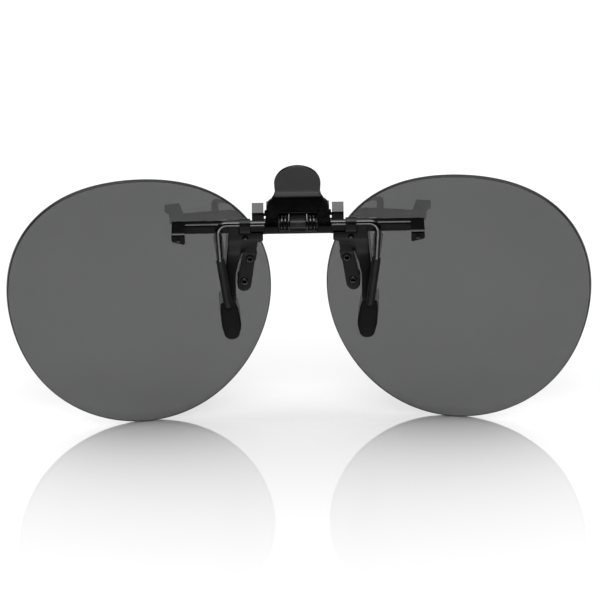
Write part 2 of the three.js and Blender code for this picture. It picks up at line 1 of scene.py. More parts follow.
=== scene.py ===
"""Clip-on tinted lenses with a squeeze hinge.

The hinge axle lies along x. +x is the right side, +y the front, where the lenses bulge, and +z up.
The front bar carries two brackets, each with a lens and a rubber-covered paddle. The clamp is a
bent wire, whose legs wear vinyl sleeves, and a lever; a torsion spring in two mirrored halves
joins it to the front. The camera looks from behind (-y) and above.
"""

import json
import math

import bpy
import bmesh
import numpy as np
from mathutils import Matrix, Quaternion, Vector
from mathutils.geometry import delaunay_2d_cdt


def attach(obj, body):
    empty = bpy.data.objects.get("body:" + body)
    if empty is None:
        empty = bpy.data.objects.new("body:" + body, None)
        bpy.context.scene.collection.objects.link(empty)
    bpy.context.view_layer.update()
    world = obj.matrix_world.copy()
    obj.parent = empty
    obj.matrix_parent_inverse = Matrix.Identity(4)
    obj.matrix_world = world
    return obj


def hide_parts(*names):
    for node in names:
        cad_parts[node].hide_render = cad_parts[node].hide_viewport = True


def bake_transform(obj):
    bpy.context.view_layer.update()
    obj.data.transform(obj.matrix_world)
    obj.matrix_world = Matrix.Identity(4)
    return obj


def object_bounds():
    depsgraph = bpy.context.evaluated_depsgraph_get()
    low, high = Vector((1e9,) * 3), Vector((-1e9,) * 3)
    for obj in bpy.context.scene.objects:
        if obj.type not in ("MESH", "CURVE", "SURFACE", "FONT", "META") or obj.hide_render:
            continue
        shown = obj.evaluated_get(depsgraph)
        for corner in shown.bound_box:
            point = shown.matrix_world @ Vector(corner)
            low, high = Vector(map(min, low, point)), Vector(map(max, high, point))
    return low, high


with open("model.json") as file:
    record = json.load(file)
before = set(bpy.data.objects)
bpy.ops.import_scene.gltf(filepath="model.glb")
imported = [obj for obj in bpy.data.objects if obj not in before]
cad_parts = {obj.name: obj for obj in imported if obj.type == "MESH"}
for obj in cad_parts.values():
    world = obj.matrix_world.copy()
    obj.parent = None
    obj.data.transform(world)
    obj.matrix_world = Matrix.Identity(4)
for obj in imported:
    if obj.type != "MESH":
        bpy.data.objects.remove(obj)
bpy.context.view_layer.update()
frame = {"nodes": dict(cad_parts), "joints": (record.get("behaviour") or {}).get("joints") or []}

# Lengths up to the front bar are millimetres about the middle of the hinge axle; P() gives metres.
MM = 0.001
AXLE = [j for j in frame["joints"] if j["name"] == "squeeze_hinge"][0]["pos_m"]

# Sizes that several pieces share
SHEET = 0.6         # thickness of the bracket and lever sheet
PLATE_Y = 2.66      # middle of the bracket plate at its top
TAB_STEP = 2.8      # how far the lens tab is set in front of that
TAB_Y = PLATE_Y + TAB_STEP
BORE_R = 0.78       # bore of the spring arbor and of the lever cheeks


def P(p):
    return Vector((p[0] * MM + AXLE[0], p[1] * MM + AXLE[1], p[2] * MM + AXLE[2]))


def unit(t):
    return min(1.0, max(0.0, t))


def smooth(t):
    s = unit(t)
    return s * s * (3 - 2 * s)


def lerp(a, b, t):
    return a + (b - a) * t


# ---------------------------------------------------------------- shapes and pieces
class Shape:
    """Vertices in millimetres with a wear number each, and faces with a material number each."""

    def __init__(self):
        self.verts, self.faces, self.wear, self.mats = [], [], [], []

    def add(self, point, wear=0.0):
        self.verts.append(Vector(point))
        self.wear.append(wear)
        return len(self.verts) - 1

    def face(self, ids, mat=0):
        self.faces.append(list(ids))
        self.mats.append(mat)

    def ring(self, centre, across, up, radius, sides, wear=0.0):
        turns = [2 * math.pi * k / sides for k in range(sides)]
        return [
            self.add(centre + across * (radius * math.cos(t)) + up * (radius * math.sin(t)), wear)
            for t in turns
        ]

    def strip(self, row, after, mat=0):
        """Faces between two closed rows; either row may be a single point."""
        sides = max(len(row), len(after))
        for k in range(sides):
            j = (k + 1) % sides
            if len(row) == 1:
                self.face([row[0], after[j], after[k]], mat)
            elif len(after) == 1:
                self.face([row[k], row[j], after[0]], mat)
            else:
                self.face([row[k], row[j], after[j], after[k]], mat)

    def loft(self, rows):
        for row, after in zip(rows, rows[1:]):
            self.strip(row, after)

    def mirrored(self):
        other = Shape()
        other.verts = [Vector((-p.x, p.y, p.z)) for p in self.verts]
        other.wear, other.mats = list(self.wear), list(self.mats)
        other.faces = [list(reversed(f)) for f in self.faces]
        return other

    def mesh(self):
        mesh = bpy.data.meshes.new("shape")
        mesh.from_pydata([P(p) for p in self.verts], [], self.faces)
        wear = mesh.attributes.new("wear", "FLOAT", "POINT")
        wear.data.foreach_set("value", np.array(self.wear, np.float32))
        mesh.polygons.foreach_set("material_index", np.array(self.mats, np.int32))
        bm = bmesh.new()
        bm.from_mesh(mesh)
        bmesh.ops.remove_doubles(bm, verts=bm.verts, dist=2e-7)
        bmesh.ops.dissolve_degenerate(bm, edges=bm.edges, dist=1e-8)
        bmesh.ops.recalc_face_normals(bm, faces=bm.faces)
        bm.to_mesh(mesh)
        bm.free()
        mesh.update()
        return mesh


def link_object(name, data):
    obj = bpy.data.objects.new(name, data)
    bpy.context.scene.collection.objects.link(obj)
    return obj


def joined(shapes):
    """One mesh from several overlapping closed shapes."""
    parts = [link_object(f"part{i}", shape.mesh()) for i, shape in enumerate(shapes)]
    base = parts[0]
    for other in parts[1:]:
        mod = base.modifiers.new("join", "BOOLEAN")
        mod.operation, mod.solver, mod.object = "UNION", "EXACT", other
    graph = bpy.context.evaluated_depsgraph_get()
    mesh = bpy.data.meshes.new_from_object(base.evaluated_get(graph), depsgraph=graph)
    for part in parts:
        old = part.data
        bpy.data.objects.remove(part)
        bpy.data.meshes.remove(old)
    return mesh


def shade(mesh, sharp):
    """Smooth shading with edges sharp from an angle in degrees."""
    mesh.polygons.foreach_set("use_smooth", [True] * len(mesh.polygons))
    mesh.set_sharp_from_angle(angle=math.radians(sharp))


def piece(name, shapes, mats, body, sharp, node=None):
    """The fine object that stands in for a CAD node, which has the same name unless given."""
    mesh = joined(shapes) if len(shapes) > 1 else shapes[0].mesh()
    mesh.name = f"{name}_fine"
    # clearing the material slots must not lose the faces' material numbers
    which = np.zeros(len(mesh.polygons), np.int32)
    mesh.polygons.foreach_get("material_index", which)
    mesh.materials.clear()
    for mat in mats:
        mesh.materials.append(mat)
    mesh.polygons.foreach_set("material_index", which if len(mats) > 1 else which * 0)
    shade(mesh, sharp)
    obj = link_object(f"{name}_fine", mesh)
    if body:
        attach(obj, body)
    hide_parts(node or name)
    return obj


def pair(name, shapes, mats, body, sharp):
    """A right piece and its mirror image on the left."""
    piece(f"right_{name}", shapes, mats, body, sharp)
    piece(f"left_{name}", [s.mirrored() for s in shapes], mats, body, sharp)


# ---------------------------------------------------------------- outlines and paths
def corner_arc(before, corner, after, radius, segs, reach):
    """Points of the arc that rounds a corner, in the plane or in space.

    The arc uses up at most the share `reach` of the shorter side.
    """
    a, b = before - corner, after - corner
    a_len, b_len = a.length, b.length
    a.normalize()
    b.normalize()
    angle = a.angle(b)
    cut = min(radius / math.tan(angle / 2), a_len * reach, b_len * reach)
    fitted = cut * math.tan(angle / 2)
    centre = corner + (a + b).normalized() * (fitted / math.sin(angle / 2))
    start, end = corner + a * cut - centre, corner + b * cut - centre
    sweep = start.angle(end)
    if len(corner) == 3:
        axis = start.cross(end).normalized()
        return [centre + Quaternion(axis, sweep * k / segs) @ start for k in range(segs + 1)]
    if start.x * end.y - start.y * end.x <= 0:
        sweep = -sweep
    out = []
    for k in range(segs + 1):
        c, s = math.cos(sweep * k / segs), math.sin(sweep * k / segs)
        out.append(centre + Vector((start.x * c - start.y * s, start.x * s + start.y * c)))
    return out


def fillet(loop, radius, segs):
    """Rounds the corners of a closed outline, passing over those that are all but straight."""
    pts = [Vector(p) for p in loop]
    out = []
    for i, p in enumerate(pts):
        before, after = pts[i - 1], pts[(i + 1) % len(pts)]
        if (before - p).angle(after - p) > math.radians(176):
            out.append(p)
        else:
            out += corner_arc(before, p, after, radius, segs, 0.48)
    return out


def soft_profile(corners, radii):
    """A closed (radius, height, wear) profile with a rounding radius for each corner."""
    pts = [Vector(c) for c in corners]
    out = []
    for i, p in enumerate(pts):
        arc = corner_arc(pts[i - 1], p, pts[(i + 1) % len(pts)], radii[i], 3, 0.45)
        out += [(q.x, q.y, 1.0) for q in arc]
    return out + [out[0]]


def rounded(points, radii, segs):
    """An open path in space with a rounding radius for each inner corner."""
    pts = [Vector(p) for p in points]
    out = [pts[0]]
    for before, p, after, radius in zip(pts, pts[1:], pts[2:], radii):
        out += corner_arc(before, p, after, radius, segs, 0.49)
    return out + [pts[-1]]


def densify(loop, step):
    """Splits the sides of a closed outline."""
    out = []
    for i in range(len(loop)):
        a, b = Vector(loop[i]), Vector(loop[(i + 1) % len(loop)])
        k = max(1, math.ceil((b - a).length / step))
        out += [a.lerp(b, j / k) for j in range(k)]
    return out


def spaced(points, step):
    """Splits the runs of an open path."""
    out = [points[0]]
    for a, b in zip(points, points[1:]):
        k = max(1, math.ceil((b - a).length / step))
        out += [a.lerp(b, j / k) for j in range(1, k + 1)]
    return out


def circle(x, y, r, n):
    turns = [2 * math.pi * i / n for i in range(n)]
    return [Vector((x + r * math.cos(t), y + r * math.sin(t))) for t in turns]


def area(loop):
    n = len(loop)
    return sum(loop[i - 1][0] * loop[i][1] - loop[i][0] * loop[i - 1][1] for i in range(n)) / 2


def inset(loop, distance):
    """Moves a closed outline to its left."""
    out = []
    for i, p in enumerate(loop):
        into = (p - loop[i - 1]).normalized()
        onward = (loop[(i + 1) % len(loop)] - p).normalized()
        along = into + onward
        along = along.normalized() if along.length > 1e-9 else into
        left = Vector((-along.y, along.x))
        out.append(p + left * (distance / max(0.45, left.dot(Vector((-into.y, into.x))))))
    return out


def inside(pts, loop):
    x, y = pts[:, 0], pts[:, 1]
    ends = np.array([[p.x, p.y] for p in loop])
    hit = np.zeros(len(pts), bool)
    for (x1, y1), (x2, y2) in zip(ends, np.roll(ends, -1, 0)):
        if y1 == y2:
            continue
        hit ^= ((y1 > y) != (y2 > y)) & (x < (x2 - x1) * (y - y1) / (y2 - y1) + x1)
    return hit


def between(pts, loops):
    """Which points lie inside the first loop and outside the others."""
    keep = inside(pts, loops[0])
    for loop in loops[1:]:
        keep &= ~inside(pts, loop)
    return keep


def carriers(points):
    """Position and two cross directions at each point of a path, turning as little as possible."""
    n = len(points)
    tan = [(points[min(n - 1, i + 1)] - points[max(0, i - 1)]).normalized() for i in range(n)]
    ref = Vector((0, 0, 1)) if abs(tan[0].z) < 0.9 else Vector((0, 1, 0))
    across = (ref - tan[0] * ref.dot(tan[0])).normalized()
    out = []
    for i in range(n):
        if i:
            axis = tan[i - 1].cross(tan[i])
            if axis.length > 1e-9:
                across = Quaternion(axis.normalized(), tan[i - 1].angle(tan[i])) @ across
            across = (across - tan[i] * across.dot(tan[i])).normalized()
        out.append((points[i], across, tan[i].cross(across)))
    return out


class Bend:
    """A path in y and z that a sheet follows, starting with rounded corners."""

    def __init__(self, pts, radii, segs, tail=()):
        path = rounded([(0, y, z) for y, z in pts], radii, segs)
        path += [Vector((0, y, z)) for y, z in tail]
        apart = [path[0]]
        for p in path[1:]:
            if (p - apart[-1]).length > 1e-6:
                apart.append(p)
        fine = spaced(apart, 0.25)
        self.y = np.array([p.y for p in fine])
        self.z = np.array([p.z for p in fine])
        run = np.hypot(np.diff(self.y), np.diff(self.z))
        self.s = np.concatenate([[0], np.cumsum(run)])
        ty, tz = np.diff(self.y) / run, np.diff(self.z) / run
        ty = np.concatenate([[ty[0]], (ty[1:] + ty[:-1]) / 2, [ty[-1]]])
        tz = np.concatenate([[tz[0]], (tz[1:] + tz[:-1]) / 2, [tz[-1]]])
        size = np.hypot(ty, tz)
        self.ty, self.tz = ty / size, tz / size
        self.length = self.s[-1]

    def surf(self, x, s):
        """Point and normal at a distance s along the path."""
        y, z, ty, tz = (np.interp(s, self.s, v) for v in (self.y, self.z, self.ty, self.tz))
        size = math.hypot(ty, tz)
        return Vector((x, y, z)), Vector((0, -tz / size, ty / size))

    def of_z(self, z):
        return float(np.interp(z, self.z, self.s))


# ---------------------------------------------------------------- solids
def grid_points(loops, grid, clear):
    """Grid points between the loops that keep clear * grid away from them."""
    rim = np.array([[p.x, p.y] for loop in loops for p in loop])
    lo, hi = rim.min(0), rim.max(0)
    xs, ys = (np.arange(lo[i] + grid / 2, hi[i], grid) for i in (0, 1))
    gx, gy = np.meshgrid(xs, ys)
    pts = np.stack([gx.ravel(), gy.ravel()], 1)
    pts = pts[between(pts, loops)]
    near = np.full(len(pts), 1e9)
    for k in range(0, len(rim), 200):
        gaps = pts[:, None, :] - rim[None, k:k + 200, :]
        near = np.minimum(near, np.sqrt((gaps ** 2).sum(2)).min(1))
    return [Vector((float(x), float(y))) for x, y in pts[near > grid * clear]]


def sheet(outer, holes, surf, thick, edge, grid, step, arc=3, land_mat=0, clear=0.5):
    """A sheet with softened edges.

    surf(u, v) gives a point of the middle surface and its normal. edge is the rounding radius,
    made in arc steps; grid and step space the points within and along the outline. A land_mat
    above 0 goes on the lower half of the edge, and adds a ring at mid thickness.
    """
    loops = []
    for i, loop in enumerate([outer, *holes]):
        loop = densify(loop, step)
        if (area(loop) > 0) != (i == 0):
            loop.reverse()
        loops.append(loop)
    inner = [inset(loop, edge) for loop in loops]
    pts = [p for loop in inner for p in loop]
    edges = []
    for loop in inner:
        base = len(edges)
        edges += [(base + i, base + (i + 1) % len(loop)) for i in range(len(loop))]
    pts += grid_points(inner, grid, clear)
    flat, _, tris, sources, _, _ = delaunay_2d_cdt(pts, edges, [], 0, 1e-7)
    where = {src: i for i, group in enumerate(sources) for src in group}
    mid = np.array([[sum(flat[i].x for i in t) / 3, sum(flat[i].y for i in t) / 3] for t in tris])

    shape = Shape()
    base = [surf(p.x, p.y) for p in flat]
    top = [shape.add(p + normal * (thick / 2)) for p, normal in base]
    bottom = [shape.add(p - normal * (thick / 2)) for p, normal in base]
    for tri, keep in zip(tris, between(mid, inner)):
        if keep:
            shape.face([top[i] for i in tri])
            shape.face([bottom[i] for i in reversed(tri)])

    # edge rings: share of the way out to the outline, height off the middle surface
    rings = []
    for k in range(1, arc + 1):
        a = math.pi / 2 * k / arc
        rings.append((math.sin(a), thick / 2 - edge * (1 - math.cos(a))))
    land = [(1.0, 0.0)] if land_mat else []
    rings = rings + land + [(out, -height) for out, height in reversed(rings)]
    first = 0
    for loop, inn in zip(loops, inner):
        ids = [where[first + i] for i in range(len(loop))]
        row = [top[i] for i in ids]
        for k, (out, height) in enumerate(rings):
            after = []
            for p, q in zip(inn, loop):
                flat_p = p.lerp(q, out)
                point, normal = surf(flat_p.x, flat_p.y)
                after.append(shape.add(point + normal * height, wear=out))
            shape.strip(row, after, land_mat if k > arc else 0)
            row = after
        shape.strip(row, [bottom[i] for i in ids], land_mat)
        first += len(loop)
    return shape


def rod(points, r, sides):
    """A round wire along a path, with slightly dished end faces."""
    shape = Shape()
    places = carriers(points)
    dish = r * 0.25

    def end_rings(place, outward, order):
        pos, across, up = place
        rows = []
        for k in order:
            a = math.pi / 2 * k / 3
            centre = pos - outward * (dish * (1 - math.cos(math.pi / 2 - a)))
            rows.append(shape.ring(centre, across, up, r - dish + dish * math.sin(a), sides, 1.0))
        return rows

    rows = end_rings(places[0], (points[0] - points[1]).normalized(), (0, 1, 2))
    rows += [shape.ring(*place, r, sides) for place in places[1:-1]]
    rows += end_rings(places[-1], (points[-1] - points[-2]).normalized(), (2, 1, 0))
    shape.loft(rows)
    shape.face(rows[0])
    shape.face(reversed(rows[-1]))
    return shape


def turned(profile, place, axis, segs=48):
    """A piece turned about a level axis.

    profile holds (radius, height along the axis from place, wear). A profile that starts and
    ends on one point is a ring.
    """
    axis, up = Vector(axis), Vector((0, 0, 1))
    shape = Shape()
    rows = []
    closed = profile[0] == profile[-1]
    for r, height, wear in profile[:-1] if closed else profile:
        centre = Vector(place) + axis * height
        if r < 1e-6:
            rows.append([shape.add(centre, wear)])
        else:
            rows.append(shape.ring(centre, up, axis.cross(up), r, segs, wear))
    shape.loft(rows + [rows[0]] if closed else rows)
    return shape


# ---------------------------------------------------------------- materials
class Nodes:
    """Short calls for building one node tree."""

    def __init__(self, owner, output="OutputMaterial"):
        owner.use_nodes = True
        self.tree = owner.node_tree
        self.tree.nodes.clear()
        self.out = self.new(output)

    def new(self, kind, inputs=None, **settings):
        node = self.tree.nodes.new("ShaderNode" + kind)
        for key, value in settings.items():
            setattr(node, key, value)
        for key, value in (inputs or {}).items():
            self.put(node.inputs[key], value)
        return node

    def put(self, socket, value):
        if isinstance(value, bpy.types.NodeSocket):
            self.tree.links.new(value, socket)
        else:
            socket.default_value = value

    def surface(self, shader):
        self.put(self.out.inputs["Surface"], shader.outputs[0])

    def math(self, op, *values, clamp=False):
        node = self.new("Math", dict(enumerate(values)), operation=op, use_clamp=clamp)
        return node.outputs[0]

    def add(self, a, b):
        return self.math("ADD", a, b)

    def sub(self, a, b):
        return self.math("SUBTRACT", a, b)

    def mul(self, a, b):
        return self.math("MULTIPLY", a, b)

    def split(self, vector):
        return self.new("SeparateXYZ", {0: vector}).outputs

    def ramp(self, x, over, to=(0.0, 1.0), kind="LINEAR"):
        """Maps the range `over` to the range `to`, clamped."""
        inputs = {"Value": x, "From Min": over[0], "From Max": over[1]}
        inputs.update({"To Min": to[0], "To Max": to[1]})
        return self.new("MapRange", inputs, clamp=True, interpolation_type=kind).outputs[0]

    def noise(self, scale, detail, rough, stretch=None):
        """Noise over the object's own coordinates; scale is in features per metre."""
        place = self.new("TexCoord").outputs["Object"]
        if stretch:
            place = self.new("Mapping", {"Vector": place, "Scale": stretch}).outputs[0]
        inputs = {"Vector": place, "Scale": scale, "Detail": detail, "Roughness": rough}
        return self.new("TexNoise", inputs).outputs["Fac"]

    def blend(self, fac, a, b):
        a, b = ((*c, 1.0) if isinstance(c, tuple) else c for c in (a, b))
        return self.new("Mix", {0: fac, 6: a, 7: b}, data_type="RGBA").outputs[2]

    def mix(self, fac, a, b):
        return self.new("MixShader", {0: fac, 1: a.outputs[0], 2: b.outputs[0]})

    def bump(self, height, strength, distance):
        inputs = {"Height": height, "Strength": strength, "Distance": distance}
        return self.new("Bump", inputs).outputs[0]

    def wear(self):
        """How worn the surface is: high along edges, broken up by noise."""
        edge = self.new("Attribute", attribute_name="wear").outputs["Fac"]
        patch = self.noise(scale=1400, detail=4.0, rough=0.65)
        return self.mul(edge, self.ramp(patch, over=(0.35, 0.8)))


CLOUD = (0.3, 0.7)      # the range of slow noise that is used
FINE = (0.25, 0.75)     # the range of fine noise that is used


def metal(name, base, bright, rough, spread, grain, worn=(0.16, 0.16, 0.165), wear_by=0.3,
          brushed=None, painted_up_down_shade=None):
    """Metal between two tones. rough +- spread follows the grain; wear_by is the share of worn
    tone on edges; brushed stretches the grain; the last argument is painted shade, a darker tone
    for faces turned up or down, with painted dark borders where the eye grazes."""
    mat = bpy.data.materials.new(name)
    n = Nodes(mat)
    cloud = n.noise(scale=260, detail=4.0, rough=0.6)
    fine = n.noise(scale=grain, detail=3.0, rough=0.6, stretch=brushed)
    wear = n.wear()
    colour = n.blend(n.ramp(cloud, CLOUD), base, bright)
    colour = n.blend(n.mul(wear, wear_by), colour, worn)
    if painted_up_down_shade:
        # painted shade: the tone is darkened where the wire faces up or down, to dim its top
        # highlight
        normal = n.split(n.new("NewGeometry").outputs["Normal"])
        painted_up_down_mask = n.ramp(n.math("ABSOLUTE", normal["Z"]), over=(0.045, 0.13))
        colour = n.blend(painted_up_down_mask, colour, painted_up_down_shade)
        # and painted shade darkens it where the eye only grazes it, giving it dark borders
        facing = n.new("LayerWeight").outputs["Facing"]
        colour = n.blend(n.ramp(facing, over=(0.42, 0.72)), colour, (0.018, 0.018, 0.0185))
    roughness = n.ramp(fine, FINE, to=(rough - spread, rough + spread))
    roughness = n.add(roughness, n.mul(wear, -0.05))    # worn edges are a little smoother
    roughness = n.add(roughness, n.ramp(cloud, CLOUD, to=(-0.03, 0.03)))
    n.surface(n.new("BsdfPrincipled", {
        "Metallic": 1.0,
        "Base Color": colour,
        "Roughness": roughness,
        "Normal": n.bump(fine, strength=0.10, distance=0.00001),
    }))
    return mat


def plastic(name, base, bright, rough, spread, grain, spec, bump, depth=0.00002):
    """Plastic between two tones, paler on worn edges. rough +- spread follows the grain."""
    mat = bpy.data.materials.new(name)
    n = Nodes(mat)
    cloud = n.noise(scale=420, detail=4.0, rough=0.6)
    fine = n.noise(scale=grain, detail=4.0, rough=0.6)
    worn = tuple(min(1.0, c * 3.2) for c in bright)
    colour = n.blend(n.ramp(cloud, CLOUD), base, bright)
    colour = n.blend(n.mul(n.wear(), 0.35), colour, worn)
    roughness = n.ramp(fine, FINE, to=(rough - spread, rough + spread))
    roughness = n.add(roughness, n.ramp(cloud, CLOUD, to=(-0.04, 0.04)))
    n.surface(n.new("BsdfPrincipled", {
        "Specular IOR Level": spec,
        "Base Color": colour,
        "Roughness": roughness,
        "Normal": n.bump(fine, strength=bump, distance=depth),
    }))
    return mat


def tinted(name, through, mirror):
    """Smoke-tinted plastic: each face passes the share `through` and mirrors a little."""
    mat = bpy.data.materials.new(name)
    n = Nodes(mat)
    geo = n.new("NewGeometry").outputs
    sides = {0: geo["Incoming"], 1: geo["Normal"]}
    dot = n.new("VectorMath", sides, operation="DOT_PRODUCT")
    cosine = n.math("ABSOLUTE", dot.outputs["Value"])
    graze = n.math("POWER", n.math("SUBTRACT", 1.0, cosine, clamp=True), 5.0)
    # the coating keeps the grazing mirror well under full
    fresnel = n.math("ADD", n.mul(graze, 0.28), mirror, clamp=True)
    cloud = n.noise(scale=45, detail=2.0, rough=0.5)
    tone = n.ramp(cloud, CLOUD, to=(through * 0.985, through * 1.015))
    # a longer way through the tint takes more
    way = n.math("DIVIDE", 1.0, n.math("MAXIMUM", cosine, 0.35))
    tone = n.math("POWER", tone, way)
    # red, green and blue shares: very slightly cool
    channels = {i: n.mul(tone, share) for i, share in enumerate((0.995, 1.0, 1.002))}
    clear = n.new("BsdfTransparent", {"Color": n.new("CombineColor", channels).outputs[0]})
    gloss = n.new("BsdfGlossy", {"Color": (1, 1, 1, 1), "Roughness": 0.0})
    n.surface(n.mix(fresnel, clear, gloss))
    return mat


BLACK_STEEL = metal(
    "black_steel", base=(0.029, 0.029, 0.030), bright=(0.035, 0.035, 0.036),
    rough=0.19, spread=0.04, grain=5200, wear_by=0.10)
BRACKET_STEEL = metal(
    "bracket_steel", base=(0.023, 0.023, 0.0237), bright=(0.029, 0.029, 0.0298),
    rough=0.40, spread=0.06, grain=4600, wear_by=0.08)
LEVER_STEEL = metal(
    "lever_steel", base=(0.036, 0.036, 0.0372), bright=(0.042, 0.042, 0.0435),
    rough=0.16, spread=0.03, grain=3600, wear_by=0.08, brushed=(1.0, 1.0, 0.25))
# the wire's last tone is a painted shade for faces turned up or down
WIRE_STEEL = metal(
    "wire_steel", base=(0.36, 0.36, 0.365), bright=(0.44, 0.44, 0.445),
    rough=0.15, spread=0.03, grain=4200, worn=(0.3, 0.3, 0.3), painted_up_down_shade=(0.066, 0.066, 0.068))
SPRING_STEEL = metal(
    "spring_steel", base=(0.055, 0.055, 0.057), bright=(0.085, 0.085, 0.088),
    rough=0.22, spread=0.05, grain=5200, worn=(0.3, 0.3, 0.3))
RIVET_STEEL = metal(
    "rivet_steel", base=(0.035, 0.035, 0.036), bright=(0.055, 0.055, 0.057),
    rough=0.22, spread=0.05, grain=6000, worn=(0.30, 0.30, 0.31), wear_by=0.35)
RUBBER = plastic(
    "rubber", base=(0.0032, 0.0032, 0.0034), bright=(0.0055, 0.0055, 0.0058),
    rough=0.62, spread=0.08, grain=3800, spec=0.12, bump=0.35, depth=0.00003)
VINYL = plastic(
    "vinyl", base=(0.006, 0.006, 0.0063), bright=(0.010, 0.010, 0.0105),
    rough=0.42, spread=0.06, grain=2600, spec=0.22, bump=0.18)
NYLON = plastic(
    "nylon", base=(0.008, 0.008, 0.0085), bright=(0.013, 0.013, 0.0135),
    rough=0.38, spread=0.05, grain=3000, spec=0.3, bump=0.12)
# the lens passes 0.088 in all, through two faces
LENS_TINT = tinted("lens_tint", through=math.sqrt(0.088), mirror=0.050)
LENS_EDGE = plastic(
    "lens_edge", base=(0.008, 0.008, 0.0083), bright=(0.016, 0.016, 0.0165),
    rough=0.35, spread=0.07, grain=5200, spec=0.35, bump=0.2, depth=0.00001)

# ---------------------------------------------------------------- lenses
LENS_R, LENS_THICK = 200.0, 1.2         # radius of the rear face, a sphere
LENS_X, LENS_Z = 37.05, -20.75          # middle of the right lens
SEAT = (11.9, 6.95, -14.05)             # a point its rear face passes through
LENS_TURN = Matrix.Rotation(-math.radians(8.9), 3, "Z") @ Matrix.Rotation(-math.radians(5.0), 3, "X")
# the rim's mean radius, then (cosine, sine) swings for 1 to 5 waves around
RIM_R = 30.507
RIM_WAVES = [
    (-0.170, 0.772), (0.382, -0.280), (0.139, 0.766), (-0.297, 0.013), (0.066, -0.033),
]
LENS_RIVETS = {"upper": (11.2, -11.25), "lower": (12.62, -17.0)}     # x, z

to_centre = LENS_TURN @ Vector((0, -LENS_R, 0))
LENS_Y = SEAT[1] - to_centre.y - math.sqrt(
    LENS_R * LENS_R - (SEAT[0] - LENS_X - to_centre.x) ** 2 - (SEAT[2] - LENS_Z - to_centre.z) ** 2)
LENS_MID = Vector((LENS_X, LENS_Y, LENS_Z))
SPHERE = LENS_MID + to_centre


def lens_y(x, z, front):
    """y of the lens's front or rear face."""
    r = LENS_R + (LENS_THICK if front else 0)
    return SPHERE.y + math.sqrt(r ** 2 - (x - SPHERE.x) ** 2 - (z - SPHERE.z) ** 2)


def rim(a):
    r = RIM_R
    for k, (cosine, sine) in enumerate(RIM_WAVES, 1):
        r += cosine * math.cos(k * a) + sine * math.sin(k * a)
    return r


def lens_surf(u, v):
    """Middle surface of the lens over its own flat coordinates."""
    r = LENS_R + LENS_THICK / 2
    y = -LENS_R + math.sqrt(r * r - u * u - v * v)
    normal = Vector((u, y + LENS_R, v)).normalized()
    return LENS_TURN @ Vector((u, y, v)) + LENS_MID, LENS_TURN @ normal


def lens_shape():
    turns = [2 * math.pi * i / 220 for i in range(220)]
    loop = [(-rim(a) * math.cos(a), rim(a) * math.sin(a)) for a in turns]
    holes = []
    for x, z in LENS_RIVETS.values():
        y = (lens_y(x, z, False) + lens_y(x, z, True)) / 2
        flat = LENS_TURN.inverted() @ (Vector((x, y, z)) - LENS_MID)
        holes.append(circle(flat.x, flat.z, 0.95, 36))
    return sheet(loop, holes, lens_surf, LENS_THICK,
                 edge=0.20, grid=1.6, step=0.9, arc=4, land_mat=1, clear=0.6)


pair("lens", [lens_shape()], [LENS_TINT, LENS_EDGE], "front", 50.0)

# ---------------------------------------------------------------- brackets
# A slit parts the plate, below SLIT_TOP, into the lens tab and, outboard of it, the paddle arm.
BEND_TOP, SLIT_TOP = -5.3, -9.3
PLATE_RIVET = (12.15, -4.65)            # x, z
# x, z around the right plate
BRACKET = [
    [8.05, -3.7], [13.55, -3.7], [13.55, -1.7], [15.95, -1.7],
    [16.05, -4.2], [16.35, -8.0], [16.75, -12.0], [17.1, -16.5], [17.2, -21.0], [16.95, -23.2],
    [16.7, -27.2], [16.3, -28.0], [15.4, -28.0], [15.0, -27.2], [14.9, -23.2], [14.6, -20.0],
    [14.55, -14.5], [13.88, -11.6], [13.25, -9.6], [12.98, -8.9], [12.82, -9.5], [13.12, -11.2],
    [14.15, -16.4], [14.27, -17.4], [14.22, -18.35], [13.8, -19.2], [12.9, -19.65],
    [11.9, -19.45], [11.2, -18.7], [10.95, -17.6], [9.25, -5.9], [8.4, -5.8], [8.05, -5.4],
]
# y, z of the strap from the plate to the axle, which it then wraps
STRAP = [(PLATE_Y, -4.1), (PLATE_Y, -3.45), (-1.0, -1.75), (-1.0, -0.3), (-1.0, 0.0)]
STRAP_X = (10.9, 13.4)


def bracket_surf(x, z):
    """Middle surface of the plate: lens tab and paddle arm swing apart below BEND_TOP."""
    from_slit = x - (12.95 - 0.195 * (max(z, -16.75) - SLIT_TOP))
    arm = PLATE_Y + smooth((-5.0 - z) / 4.6) - 1.35 * smooth((-9.4 - z) / 12.0)
    t = unit((BEND_TOP - z) / 4.7)
    tab = PLATE_Y + TAB_STEP * (0.75 * t + 0.25 * smooth(t))
    if z > SLIT_TOP:
        width = lerp(2.4, 0.3, unit((BEND_TOP - z) / (BEND_TOP - SLIT_TOP)))
        share = smooth((width - from_slit) / (2 * width))
    else:
        share = 1.0 if from_slit < 0 else 0.0
    return Vector((x, arm + (tab - arm) * share, z)), Vector((0, 1, 0))


def plate_shape():
    holes = [circle(*PLATE_RIVET, 0.47, 24)]
    holes += [circle(x, z, 0.82, 36) for x, z in LENS_RIVETS.values()]
    return sheet(fillet(BRACKET, 0.3, 4), holes, bracket_surf, SHEET,
                 edge=0.09, grid=0.42, step=0.3)


def strap_shape():
    turns = [math.pi - math.pi * 1.12 * i / 40 for i in range(1, 41)]
    wrap = [(math.cos(a), math.sin(a)) for a in turns]
    bend = Bend(STRAP, [0.5, 0.4, 0.01], 8, tail=wrap)
    a, b = STRAP_X
    return sheet([(a, 0), (b, 0), (b, bend.length), (a, bend.length)], [],
                 bend.surf, 0.44, edge=0.07, grid=0.32, step=0.16)


pair("bracket", [plate_shape(), strap_shape()], [BRACKET_STEEL], "front", 40.0)

